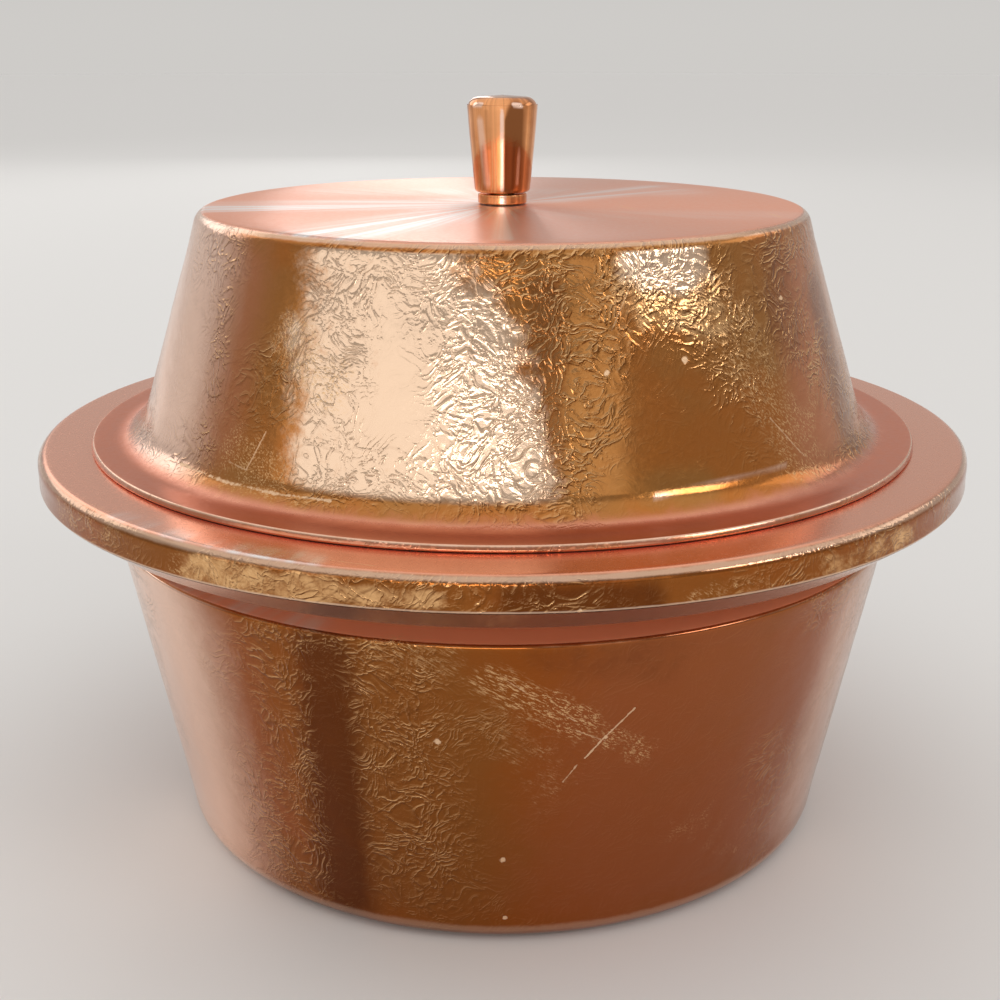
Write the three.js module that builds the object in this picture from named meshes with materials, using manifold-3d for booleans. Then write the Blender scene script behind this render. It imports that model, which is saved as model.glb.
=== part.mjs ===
// A covered copper dish: a deep spun bowl with a wide hollow flange, and a flat-topped lid with a turned knob.
// Millimetres, +Z up, origin at the middle of the flat base.
import * as THREE from "three";
import { mergeVertices } from "three/addons/utils/BufferGeometryUtils.js";
import Module from "manifold-3d";

// Bowl
const bowlHeight = 112.7;
const shoulderRadius = 110.6;
const shoulderDrop = 23.8;
const shoulderFillet = 1.2;
const shoulderRise = 0.8;
const baseTaper = 16.9;
const baseFillet = 6.8;
const neckInset = 12.1;
const neckFillet = 2.4;
const lipWidth = 7.5;
const bowlSheet = 1.5;

// Flange
const rimWidth = 31.5;
const rimFace = 8.4;
const rimFillet = 2.6;
const underplateInset = 9.9;
const underplateDrop = 15.5;
const underplateFillet = 1.2;
const underplateCollar = 6;
const flangeSheet = 1.2;
const hemWidth = 6;
const hemBend = 0.6;
const seamStep = 0.4;

// Lid
const lidHeight = 62.2;
const lidTaper = 19.1;
const lidTopFillet = 3.7;
const coneOverlap = 4.3;
const coneFootFillet = 9;
const brimWidth = 13.2;
const brimSlant = 0.8;
const brimEdgeFillet = 0.5;
const lidSheet = 1.5;

// Tin lining of the bowl and the lid
const tinSheet = 0.6;
const tinDrop = 1.5;

// Ring under the lid that drops into the mouth of the bowl
const ringSheet = 1.2;
const ringPlay = 1.2;
const ringDepth = 8;
const ringStepHeight = 9.5;
const ringLap = 7;
const ringBend = 1;

// Knob and what holds it
const knobHeight = 26;
const knobTopRadius = 9.75;
const knobFootRadius = 7.6;
const knobTopFillet = 1.9;
const knobFootFillet = 1.2;
const knobCrown = 0.7;
const knobSwellShares = { radius: 0.93, height: 0.78 };
const collarRadius = 6.8;
const collarHeight = 2.7;
const collarFillet = 0.4;
const screwRadius = 3;
const screwReach = 16;
const screwChamfer = 0.8;
const headRadius = 6;
const headHeight = 3;
const headFillet = 1.8;
const slotWidth = 1.6;
const slotDepth = 1.4;
const washerRadius = 12;
const washerSheet = 1.2;
const washerDish = 0.8;

// Clearance between pieces that touch or nest, the least bend of a sheet, and how finely curves are cut
const gap = 0.3;
const tightBend = 0.3;
const chordError = 0.2;
const overrun = 1;
const sheetSides = 48;
const knobSides = 24;
const wireSides = 8;
const knobSteps = 6;

// Heights and radii that follow from the sizes above. The flange and the lid both start from the bowl's neck.
const baseRadius = shoulderRadius - baseTaper;
const neckRadius = shoulderRadius - neckInset;
const mouthRadius = neckRadius - bowlSheet;
const mouthClearRadius = mouthRadius - gap - tinSheet;
const rimRadius = neckRadius + rimWidth;
const underplateRadius = rimRadius - underplateInset;
const coneFootRadius = neckRadius + coneOverlap;
const lidTopRadius = coneFootRadius - lidTaper;
const brimRadius = coneFootRadius + brimWidth;
const shoulderHeight = bowlHeight - shoulderDrop;
const lipHeight = bowlHeight - flangeSheet - gap - bowlSheet;
const brimUnder = bowlHeight + gap;
const brimTop = brimUnder + lidSheet;
const lidTop = bowlHeight + lidHeight;
const coneSlope = (coneFootRadius - lidTopRadius) / (lidTop - brimTop);
const tinFoot = brimTop + coneFootFillet;
const boreRadius = screwRadius + gap;
const collarFoot = lidTop + gap;
const knobFoot = collarFoot + collarHeight + gap;

const copper = new THREE.MeshStandardMaterial({ color: 0xb8734a, metalness: 1, roughness: 0.32 });
const brightCopper = new THREE.MeshStandardMaterial({ color: 0xc47c54, metalness: 1, roughness: 0.14 });
const tin = new THREE.MeshStandardMaterial({ color: 0xc9c6bf, metalness: 1, roughness: 0.4 });
const steel = new THREE.MeshStandardMaterial({ color: 0x8d8f92, metalness: 1, roughness: 0.45 });
const brass = new THREE.MeshStandardMaterial({ color: 0xc9a55a, metalness: 1, roughness: 0.3 });

// A corner of an outline: its radius from the axis, its height, and the fillet that rounds it
function corner(r, z, fillet = 0) {
  return { r, z, fillet };
}

function direction(from, to) {
  const length = Math.hypot(to.r - from.r, to.z - from.z);
  return { r: (to.r - from.r) / length, z: (to.z - from.z) / length };
}

// The path moved sideways, to the left of its direction where the distance is positive.
// A bend keeps its centre, so its fillet grows on one side of the sheet and shrinks on the other.
function parallel(path, distance) {
  return path.map((point, i) => {
    const before = i > 0 ? direction(path[i - 1], point) : direction(point, path[i + 1]);
    const after = i < path.length - 1 ? direction(point, path[i + 1]) : before;
    const turn = before.r * after.z - before.z * after.r;
    const mitre = distance / (1 + before.r * after.r + before.z * after.z);
    const fillet = point.fillet > 0 ? Math.max(point.fillet - Math.sign(turn) * distance, tightBend) : 0;
    return corner(point.r - (before.z + after.z) * mitre, point.z + (before.r + after.r) * mitre, fillet);
  });
}

// The outline of a sheet whose one face follows the path: thick to the left, or to the right if negative
function sheetOutline(path, thickness) {
  const outline = [...path, ...parallel(path, thickness).reverse()];
  return thickness > 0 ? outline : outline.reverse();
}

// The points of an outline, with each fillet as an arc
function rounded(corners, closed) {
  const points = [];
  corners.forEach((point, i) => {
    const isEnd = !closed && (i === 0 || i === corners.length - 1);
    if (isEnd || point.fillet === 0) {
      points.push(new THREE.Vector2(point.r, point.z));
      return;
    }
    const back = direction(point, corners.at(i - 1));
    const ahead = direction(point, corners[(i + 1) % corners.length]);
    const half = Math.acos(back.r * ahead.r + back.z * ahead.z) / 2;
    const reach = point.fillet / Math.tan(half);
    const middle = Math.hypot(back.r + ahead.r, back.z + ahead.z);
    const toCentre = point.fillet / Math.sin(half) / middle;
    const centreR = point.r + (back.r + ahead.r) * toCentre;
    const centreZ = point.z + (back.z + ahead.z) * toCentre;
    const startAngle = Math.atan2(point.z + back.z * reach - centreZ, point.r + back.r * reach - centreR);
    const endAngle = Math.atan2(point.z + ahead.z * reach - centreZ, point.r + ahead.r * reach - centreR);
    const clockwise = back.r * ahead.z - back.z * ahead.r > 0;
    const stepAngle = 2 * Math.acos(1 - chordError / Math.max(point.fillet, chordError));
    const steps = Math.ceil((Math.PI - 2 * half) / stepAngle);
    const arc = new THREE.EllipseCurve(
      centreR, centreZ, point.fillet, point.fillet, startAngle, endAngle, clockwise);
    points.push(...arc.getPoints(steps));
  });
  return points;
}

// A shape turned round the upright axis from an outline that runs anticlockwise
function turned(corners, sides) {
  const onAxis = corners[0].r === 0;
  const points = rounded(corners, !onAxis);
  if (!onAxis) points.push(points[0].clone());
  return new THREE.LatheGeometry(points, sides).rotateX(Math.PI / 2);
}

const wasm = await Module();
wasm.setup();

function toSolid(geometry) {
  const bare = geometry.clone();
  bare.deleteAttribute("normal");
  bare.deleteAttribute("uv");
  const merged = mergeVertices(bare);
  const triVerts = new Uint32Array(merged.index.array);
  return new wasm.Manifold(new wasm.Mesh({ numProp: 3, vertProperties: merged.attributes.position.array, triVerts }));
}

function toGeometry(solid) {
  const mesh = solid.getMesh();
  const geometry = new THREE.BufferGeometry();
  geometry.setAttribute("position", new THREE.BufferAttribute(mesh.vertProperties, mesh.numProp));
  geometry.setIndex(new THREE.BufferAttribute(mesh.triVerts, 1));
  geometry.computeVertexNormals();
  return geometry;
}

const dish = new THREE.Group();

function add(name, geometry, material) {
  const mesh = new THREE.Mesh(geometry, material);
  mesh.name = name;
  dish.add(mesh);
}

// Bowl: base, flaring wall, shoulder and neck. The shell ends in a lip that carries the flange.
function bowlPath(...top) {
  return [
    corner(0, 0),
    corner(baseRadius, 0, baseFillet),
    corner(shoulderRadius, shoulderHeight, shoulderFillet),
    corner(neckRadius, shoulderHeight + shoulderRise, neckFillet),
    ...top,
  ];
}

const shellPath = bowlPath(
  corner(neckRadius, lipHeight, shoulderFillet),
  corner(neckRadius + lipWidth, lipHeight));
add("bowl_shell", turned(sheetOutline(shellPath, bowlSheet), sheetSides), copper);

// The lining follows the inside of the shell, and ends just below the mouth
const liningPath = parallel(bowlPath(corner(neckRadius, bowlHeight - tinDrop)), bowlSheet + gap);
add("bowl_lining", turned(sheetOutline(liningPath, tinSheet), sheetSides), tin);

// Flange: the plate is turned down at its edge and hemmed inwards at the foot of that face
const hemHeight = bowlHeight - rimFace;
const platePath = [
  corner(mouthRadius, bowlHeight),
  corner(rimRadius, bowlHeight, rimFillet),
  corner(rimRadius, hemHeight, hemBend),
  corner(rimRadius - hemWidth, hemHeight),
];
add("flange_plate", turned(sheetOutline(platePath, -flangeSheet), sheetSides), copper);

// The underplate runs from a collar round the neck out to the seam, where it folds back under the hem,
// hooks round it and lies on top of it
const seamHeight = hemHeight - gap;
const hookRadius = rimRadius - hemWidth - gap;
const hookHeight = hemHeight + flangeSheet + gap;
const underplateHeight = bowlHeight - underplateDrop;
const underplatePath = [
  corner(neckRadius + gap, underplateHeight + underplateCollar),
  corner(neckRadius + gap, underplateHeight, hemBend),
  corner(underplateRadius, underplateHeight, underplateFillet),
  corner(rimRadius - seamStep, seamHeight),
  corner(hookRadius, seamHeight),
  corner(hookRadius, hookHeight),
  corner(rimRadius - flangeSheet - gap, hookHeight),
];
add("flange_underplate", turned(sheetOutline(underplatePath, flangeSheet), sheetSides), copper);

// The stiffening wire fills the corner between the plate, its turned-down face and the top of the seam
const wireFoot = hookHeight + flangeSheet + gap;
const wireRadius = (bowlHeight - flangeSheet - gap - wireFoot) / 2;
const wireCentre = rimRadius - flangeSheet - gap - wireRadius;
const wireOutline = Array.from({ length: wireSides }, (_, i) => {
  const angle = (2 * Math.PI * i) / wireSides;
  return corner(wireCentre + wireRadius * Math.cos(angle), wireFoot + wireRadius * (1 + Math.sin(angle)));
});
add("rim_wire", turned(wireOutline, sheetSides), steel);

// Lid: flat top, flaring wall, hollow fillet at its foot and a brim whose edge slants a little
const lidPath = [
  corner(boreRadius, lidTop),
  corner(lidTopRadius, lidTop, lidTopFillet),
  corner(coneFootRadius, brimTop, coneFootFillet),
  corner(brimRadius - brimSlant, brimTop, brimEdgeFillet),
];
const lidUnderPath = parallel(lidPath, -lidSheet);
lidUnderPath.at(-1).r = brimRadius;
lidUnderPath.at(-1).fillet = brimEdgeFillet;
add("lid_shell", turned([...lidUnderPath, ...lidPath.toReversed()], sheetSides), copper);

// Radius of the lid's wall at a height, measured in from its outer face through the given thickness
function wallRadius(height, thickness) {
  return coneFootRadius - (height - brimTop) * coneSlope - thickness * Math.hypot(1, coneSlope);
}

const tinPath = parallel([
  corner(boreRadius, lidTop),
  corner(lidTopRadius, lidTop, lidTopFillet),
  corner(wallRadius(tinFoot, 0), tinFoot),
], -lidSheet - gap);
add("lid_lining", turned(sheetOutline(tinPath, -tinSheet), sheetSides), tin);

// Locating ring: its upper part lies against the lining, a step brings it in, and its skirt enters the mouth
const ringStep = bowlHeight + ringStepHeight;
const ringTop = ringStep + ringLap;
const ringInset = lidSheet + gap + tinSheet + gap;
const skirtRadius = mouthClearRadius - ringPlay;
const ringPath = [
  corner(wallRadius(ringTop, ringInset), ringTop),
  corner(wallRadius(ringStep, ringInset), ringStep, ringBend),
  corner(skirtRadius, ringStep, ringBend),
  corner(skirtRadius, bowlHeight - ringDepth),
];
add("locating_ring", turned(sheetOutline(ringPath, -ringSheet), sheetSides), copper);

// Knob: a turned taper with a slightly crowned top and a blind hole for its screw
const knobTop = knobFoot + knobHeight;
const knobShoulder = knobTop - knobCrown;
const knobSide = new THREE.QuadraticBezierCurve(
  new THREE.Vector2(knobFootRadius, knobFoot),
  new THREE.Vector2(
    knobFootRadius + (knobTopRadius - knobFootRadius) * knobSwellShares.radius,
    knobFoot + (knobShoulder - knobFoot) * knobSwellShares.height),
  new THREE.Vector2(knobTopRadius, knobShoulder),
).getPoints(knobSteps).map((point) => corner(point.x, point.y));
knobSide[0].fillet = knobFootFillet;
knobSide.at(-1).fillet = knobTopFillet;
const screwTip = knobFoot + screwReach;
add("knob", turned([
  corner(0, screwTip + gap),
  corner(boreRadius, screwTip + gap),
  corner(boreRadius, knobFoot),
  ...knobSide,
  corner(0, knobTop),
], knobSides), brightCopper);

add("knob_collar", turned([
  corner(boreRadius, collarFoot),
  corner(collarRadius, collarFoot, collarFillet),
  corner(collarRadius, collarFoot + collarHeight, collarFillet),
  corner(boreRadius, collarFoot + collarHeight),
], knobSides), brightCopper);

// Washer: dished, so only its outer edge bears against the lining
const washerTop = lidTop - lidSheet - gap - tinSheet - gap;
const washerFoot = washerTop - washerSheet;
const washerPath = [
  corner(boreRadius, washerFoot - washerDish),
  corner(headRadius, washerFoot - washerDish),
  corner(washerRadius, washerFoot),
];
add("knob_washer", turned(sheetOutline(washerPath, washerSheet), knobSides), brass);

// Screw: a slotted pan head under the washer, and a shank that reaches up into the knob
const headTop = washerFoot - washerDish - gap;
const headFoot = headTop - headHeight;
const screwBlank = turned([
  corner(0, headFoot),
  corner(headRadius, headFoot, headFillet),
  corner(headRadius, headTop),
  corner(screwRadius, headTop),
  corner(screwRadius, screwTip - screwChamfer),
  corner(screwRadius - screwChamfer, screwTip),
  corner(0, screwTip),
], knobSides);
const slotLength = 2 * (headRadius + overrun);
const slot = new THREE.BoxGeometry(slotLength, slotWidth, slotDepth + overrun);
slot.translate(0, 0, headFoot + (slotDepth - overrun) / 2);
add("knob_screw", toGeometry(toSolid(screwBlank).subtract(toSolid(slot))), brass);

export default dish;
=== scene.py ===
import math

import bpy
import numpy as np
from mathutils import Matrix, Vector, noise
from mathutils.bvhtree import BVHTree


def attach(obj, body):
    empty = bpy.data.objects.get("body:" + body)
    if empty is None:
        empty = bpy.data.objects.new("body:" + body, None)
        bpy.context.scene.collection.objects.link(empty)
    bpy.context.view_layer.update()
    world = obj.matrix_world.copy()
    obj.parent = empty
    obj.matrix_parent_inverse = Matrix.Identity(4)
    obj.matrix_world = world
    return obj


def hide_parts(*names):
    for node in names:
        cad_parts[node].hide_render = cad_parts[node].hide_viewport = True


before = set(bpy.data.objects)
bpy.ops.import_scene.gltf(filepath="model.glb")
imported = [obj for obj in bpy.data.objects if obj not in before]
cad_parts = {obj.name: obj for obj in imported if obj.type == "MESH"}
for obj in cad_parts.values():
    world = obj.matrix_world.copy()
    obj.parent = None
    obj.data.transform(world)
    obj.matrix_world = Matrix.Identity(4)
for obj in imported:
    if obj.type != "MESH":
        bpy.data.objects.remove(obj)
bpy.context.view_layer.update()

mm = 0.001

# The camera, as worked out from the photograph: 1000 pixels square
photo = {"size": 1000, "focalPixels": 1460.2, "axisColumn": 502.36, "middleRow": 500,
         "distance": 413.1 * mm, "height": 219.6 * mm, "pitchDegrees": 17.65}

cameraData = bpy.data.cameras.new("camera")
cameraData.sensor_width = 36
cameraData.lens = cameraData.sensor_width * photo["focalPixels"] / photo["size"]
cameraData.shift_x = (photo["size"] / 2 - photo["axisColumn"]) / photo["size"]
camera = bpy.data.objects.new("camera", cameraData)
bpy.context.scene.collection.objects.link(camera)
camera.location = (0, -photo["distance"], photo["height"])
camera.rotation_euler = (math.radians(90 - photo["pitchDegrees"]), 0, 0)
bpy.context.scene.camera = camera
bpy.context.view_layer.update()

solids = [BVHTree.FromPolygons([v.co for v in node.data.vertices], [p.vertices for p in node.data.polygons])
          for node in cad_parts.values()]


def seenAt(column, row):  # the point of the dish that shows at a pixel of the photograph
    sight = Vector(((column - photo["axisColumn"]) / photo["focalPixels"],
                    (photo["middleRow"] - row) / photo["focalPixels"], -1))
    sight = (camera.matrix_world.to_3x3() @ sight).normalized()
    hits = [solid.ray_cast(camera.location, sight) for solid in solids]
    return min((hit for hit in hits if hit[0]), key=lambda hit: hit[3])[0]


# Nodes, for materials and for geometry alike
class Wiring:
    def __init__(self, tree):
        self.tree = tree

    def add(self, kind, sockets=None, **settings):
        node = self.tree.nodes.new(kind)
        for name, value in settings.items():
            setattr(node, name, value)
        for name, value in (sockets or {}).items():
            if isinstance(value, bpy.types.NodeSocket):
                self.tree.links.new(value, node.inputs[name])
            else:
                node.inputs[name].default_value = value
        return node

    def calc(self, operation, a, b=0.0, clamp=False):
        return self.add("ShaderNodeMath", {0: a, 1: b}, operation=operation, use_clamp=clamp).outputs[0]

    def vector(self, operation, a, b=(0, 0, 0)):
        return self.add("ShaderNodeVectorMath", {0: a, 1: b}, operation=operation).outputs[0]

    def scaled(self, a, share):
        return self.add("ShaderNodeVectorMath", {0: a, "Scale": share}, operation="SCALE").outputs[0]

    def length(self, a, b=(0, 0, 0)):
        return self.add("ShaderNodeVectorMath", {0: a, 1: b}, operation="DISTANCE").outputs["Value"]

    def ramp(self, value, low, high, toLow=0.0, toHigh=1.0):
        node = self.add("ShaderNodeMapRange", interpolation_type="SMOOTHSTEP")
        for name, setting in (("Value", value), ("From Min", low), ("From Max", high),
                              ("To Min", toLow), ("To Max", toHigh)):
            if isinstance(setting, bpy.types.NodeSocket):
                self.tree.links.new(setting, node.inputs[name])
            else:
                node.inputs[name].default_value = setting
        return node.outputs["Result"]

    def mix(self, share, a, b):
        node = self.add("ShaderNodeMix", data_type="RGBA")
        for index, value in ((0, share), (6, a), (7, b)):
            if isinstance(value, bpy.types.NodeSocket):
                self.tree.links.new(value, node.inputs[index])
            else:
                node.inputs[index].default_value = value if index == 0 else (*value, 1)
        return node.outputs[2]

    def noise(self, place, size, detail=2.0, roughness=0.5, seed=0.0):
        if seed:
            place = self.vector("ADD", place, (seed, -seed, seed / 2))
        return self.add("ShaderNodeTexNoise", {"Vector": place, "Scale": 1 / size, "Detail": detail,
                                               "Roughness": roughness})


# How the thin copper is crumpled: soft dents, fine ridges that run side by side in arcs, and longer folds
crumple = {"warpSize": 18 * mm, "warpReach": 34 * mm, "dentSize": 17 * mm, "dentDepth": 0.30 * mm,
           "ridgeSize": 3.1 * mm, "ridgeDepth": 0.035 * mm, "ridgeWidth": 0.34, "lineWidth": 0.06,
           "foldSize": 11 * mm, "foldWarp": 12 * mm, "foldWidth": 0.035, "fineSize": 1.2 * mm}


def crumpled(wire, place):  # the dents, the ridges and the creases on them, each from 0 to 1
    warp = wire.noise(place, crumple["warpSize"], detail=2.0, seed=3.0).outputs["Color"]
    bent = wire.vector("ADD", place, wire.scaled(wire.vector("SUBTRACT", warp, (0.5, 0.5, 0.5)),
                                                 crumple["warpReach"]))
    dents = wire.noise(bent, crumple["dentSize"], detail=1.5).outputs[0]
    ridges = wire.noise(bent, crumple["ridgeSize"], detail=1.7, roughness=0.4, seed=6.0).outputs[0]
    ridges = wire.calc("ABSOLUTE", wire.calc("SUBTRACT", wire.calc("MULTIPLY", ridges, 2.0), 1.0))
    lines = wire.ramp(ridges, 0.0, crumple["lineWidth"], 1.0, 0.0)
    ridges = wire.ramp(ridges, 0.0, crumple["ridgeWidth"], 1.0, 0.0)
    shifted = wire.vector("ADD", place, wire.scaled(warp, crumple["foldWarp"]))
    folds = wire.add("ShaderNodeTexVoronoi", {"Vector": shifted, "Scale": 1 / crumple["foldSize"]},
                     feature="DISTANCE_TO_EDGE")
    folds = wire.ramp(folds.outputs["Distance"], 0.0, crumple["foldWidth"], 1.0, 0.0)
    return dents, ridges, wire.calc("MAXIMUM", lines, folds)


# Outlines: corners of radius, height and fillet, which run anticlockwise round a sheet's section
turning = {"sides": 480, "hiddenSides": 288, "fine": 1.0 * mm, "coarse": 7 * mm, "arcDegrees": 12,
           "tightBend": 0.3 * mm, "fade": 5 * mm, "poleRadius": 1e-7, "sharpDegrees": 40}


def towards(start, end):
    length = math.hypot(end[0] - start[0], end[1] - start[1])
    return (end[0] - start[0]) / length, (end[1] - start[1]) / length


def sideways(path, distance):  # the path moved to its left, each bend keeping its centre
    moved = []
    for i, (radius, height, fillet) in enumerate(path):
        before = towards(path[i - 1], path[i]) if i else towards(path[i], path[i + 1])
        after = towards(path[i], path[i + 1]) if i < len(path) - 1 else before
        turn = before[0] * after[1] - before[1] * after[0]
        mitre = distance / (1 + before[0] * after[0] + before[1] * after[1])
        bend = max(fillet - (distance if turn > 0 else -distance), turning["tightBend"]) if fillet else 0
        moved.append((radius - (before[1] + after[1]) * mitre, height + (before[0] + after[0]) * mitre, bend))
    return moved


def sheetOutline(path, thickness):  # thick to the left of the path, or to its right if negative
    outline = [*path, *sideways(path, thickness)[::-1]]
    return outline if thickness > 0 else outline[::-1]


# An outline's stretches are numbered from its first corner: some are wrinkled, some only closely spaced
def traced(corners, closed, wrinkled=(), fine=()):  # the outline's points, and how far each is wrinkled
    count = len(corners)
    arcs = []
    for i, (radius, height, fillet) in enumerate(corners):
        here = np.array((radius, height))
        if fillet == 0 or (not closed and i in (0, count - 1)):
            arcs.append([here])
            continue
        back = np.array(towards(corners[i], corners[i - 1]))
        ahead = np.array(towards(corners[i], corners[(i + 1) % count]))
        half = math.acos(max(-1, min(1, float(back @ ahead)))) / 2
        centre = here + (back + ahead) / np.linalg.norm(back + ahead) * fillet / math.sin(half)
        start, end = here + back * fillet / math.tan(half) - centre, here + ahead * fillet / math.tan(half) - centre
        first = math.atan2(start[1], start[0])
        sweep = (math.atan2(end[1], end[0]) - first + math.pi) % (2 * math.pi) - math.pi
        steps = max(2, math.ceil(abs(math.degrees(sweep)) / turning["arcDegrees"]))
        arcs.append([centre + fillet * np.array((math.cos(first + sweep * k / steps),
                                                 math.sin(first + sweep * k / steps))) for k in range(steps + 1)])
    points, shares = [], []
    for i, arc in enumerate(arcs):
        points += arc
        shares += [0.0] * len(arc)
        if i == count - 1 and not closed:
            break
        start, end = arc[-1], arcs[(i + 1) % count][0]
        length = float(np.linalg.norm(end - start))
        step = turning["fine"] if i in fine or i in wrinkled else turning["coarse"]
        steps = max(1, round(length / step))
        for k in range(1, steps):
            points.append(start + (end - start) * k / steps)
            nearest = min(k, steps - k) / steps * length
            shares.append(min(1.0, nearest / turning["fade"]) if i in wrinkled else 0.0)
    return np.array(points), np.array(shares)


def turnedPiece(name, corners, closed, wrinkled=(), fine=(), sides=None):
    points, shares = traced(corners, closed, wrinkled, fine)
    sides = sides or turning["sides"]
    angles = np.arange(sides) * 2 * math.pi / sides
    vertices, rows, wrinkles = [], [], []
    for (radius, height), share in zip(points, shares):
        onAxis = radius < turning["poleRadius"]
        rows.append((len(vertices), onAxis))
        turned = [(0, 0, height)]
        if not onAxis:
            turned = [(radius * math.sin(a), -radius * math.cos(a), height) for a in angles]
        vertices += turned
        wrinkles += [share] * len(turned)
    faces = []
    pairs = list(zip(rows, rows[1:])) + ([(rows[-1], rows[0])] if closed else [])
    for (low, lowPole), (high, highPole) in pairs:
        for k in range(sides):
            n = (k + 1) % sides
            if lowPole:
                faces.append((low, high + n, high + k))
            elif highPole:
                faces.append((low + k, low + n, high))
            else:
                faces.append((low + k, low + n, high + n, high + k))
    mesh = bpy.data.meshes.new(name)
    mesh.from_pydata(vertices, [], faces)
    mesh.attributes.new("wrinkle", "FLOAT", "POINT").data.foreach_set("value", np.array(wrinkles, np.float32))
    mesh.shade_smooth()
    mesh.set_sharp_from_angle(angle=math.radians(turning["sharpDegrees"]))
    piece = bpy.data.objects.new(name, mesh)
    bpy.context.scene.collection.objects.link(piece)
    return piece


# Geometry nodes that press the crumpling into a turned sheet, where its outline says so
def crumpleTree():
    tree = bpy.data.node_groups.new("crumpledSheet", "GeometryNodeTree")
    face = tree.interface
    face.new_socket("Geometry", in_out="INPUT", socket_type="NodeSocketGeometry")
    for name, value in (("Dent depth", crumple["dentDepth"]), ("Ridge depth", crumple["ridgeDepth"])):
        socket = face.new_socket(name, in_out="INPUT", socket_type="NodeSocketFloat")
        socket.default_value = value
    face.new_socket("Material", in_out="INPUT", socket_type="NodeSocketMaterial")
    face.new_socket("Geometry", in_out="OUTPUT", socket_type="NodeSocketGeometry")
    wire = Wiring(tree)
    given = wire.add("NodeGroupInput").outputs
    place = wire.add("GeometryNodeInputPosition").outputs[0]
    normal = wire.add("GeometryNodeInputNormal").outputs[0]
    share = wire.add("GeometryNodeInputNamedAttribute", {"Name": "wrinkle"}, data_type="FLOAT").outputs[0]
    dents, ridges, _ = crumpled(wire, place)
    depth = wire.calc("ADD", wire.calc("MULTIPLY", dents, given["Dent depth"]),
                      wire.calc("MULTIPLY", ridges, given["Ridge depth"]))
    inwards = wire.scaled(normal, wire.calc("MULTIPLY", wire.calc("MULTIPLY", depth, share), -1.0))
    moved = wire.add("GeometryNodeSetPosition", {"Geometry": given["Geometry"], "Offset": inwards})
    real = wire.add("GeometryNodeRealizeInstances", {"Geometry": moved.outputs[0]})
    dressed = wire.add("GeometryNodeSetMaterial", {"Geometry": real.outputs[0], "Material": given["Material"]})
    wire.add("NodeGroupOutput", {"Geometry": dressed.outputs[0]})
    return tree


crumpleNodes = crumpleTree()


def crumplePiece(piece, material):
    modifier = piece.modifiers.new("crumple", "NODES")
    modifier.node_group = crumpleNodes
    for item in crumpleNodes.interface.items_tree:
        if item.in_out == "INPUT" and item.name == "Material":
            modifier[item.identifier] = material
    bpy.context.view_layer.update()
    seen = piece.evaluated_get(bpy.context.evaluated_depsgraph_get())
    mesh = bpy.data.meshes.new_from_object(seen)
    piece.modifiers.clear()
    piece.data = mesh


def dress(piece, body, slotName, material, *nodes):
    piece.data.calc_loop_triangles()
    print(piece.name, len(piece.data.loop_triangles), "triangles")
    if not piece.data.materials:
        piece.data.materials.append(material)
    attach(piece, body)
    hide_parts(*nodes)


# Finish on a piece, in patches: start and end as pixels of the photograph, then reach in mm, then share.
# Where the photograph doesn't look, clouds of noise take their place, each kind with its own level.
clouds = {"size": 26 * mm, "reach": 1.1, "border": 40 * mm, "warm": 0.35, "ruddy": 0.25, "shade": -0.05,
          "burnished": -0.20, "pressed": 0.30}
patchEdge = 1.5  # in reaches: where a patch has faded away
leastPressed = 0.06
finishKinds = ("warm", "ruddy", "shade", "goldAndGlint", "burnished", "paintedHighlight", "spun", "scuffed", "flat", "pressed")


def paintFinish(piece, finish):
    count = len(piece.data.vertices)
    places = np.empty(count * 3, np.float32)
    piece.data.vertices.foreach_get("co", places)
    places = places.reshape(-1, 3)
    unseen = np.clip(places[:, 1] / clouds["border"] + 0.5, 0, 1)
    flat = 0.0
    for seed, kind in enumerate(finishKinds):
        share = np.zeros(count, np.float32)
        for x0, y0, x1, y1, reach, strength in finish.get(kind, {}).values():
            start, end = np.array(seenAt(x0, y0)), np.array(seenAt(x1, y1))
            along = end - start
            t = np.clip((places - start) @ along / max(along @ along, 1e-9), 0, 1)
            away = np.linalg.norm(places - start - t[:, None] * along, axis=1) / (reach * mm)
            share = np.maximum(share, strength * np.clip(patchEdge - away, 0, 1))
        if kind == "flat":
            flat = share
            continue
        if kind in clouds:
            shift = Vector((seed, 0, 0))
            drift = np.array([noise.noise(Vector(place) / clouds["size"] + shift) for place in places])
            drift = np.clip(clouds[kind] + clouds["reach"] * drift, 0, 1)
            share = np.maximum(share, drift if kind == "pressed" else drift * unseen)
        if kind == "pressed":
            share = np.clip(share - flat, leastPressed, 1)
        piece.data.attributes.new(kind, "FLOAT", "POINT").data.foreach_set("value", share.astype(np.float32))


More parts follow.
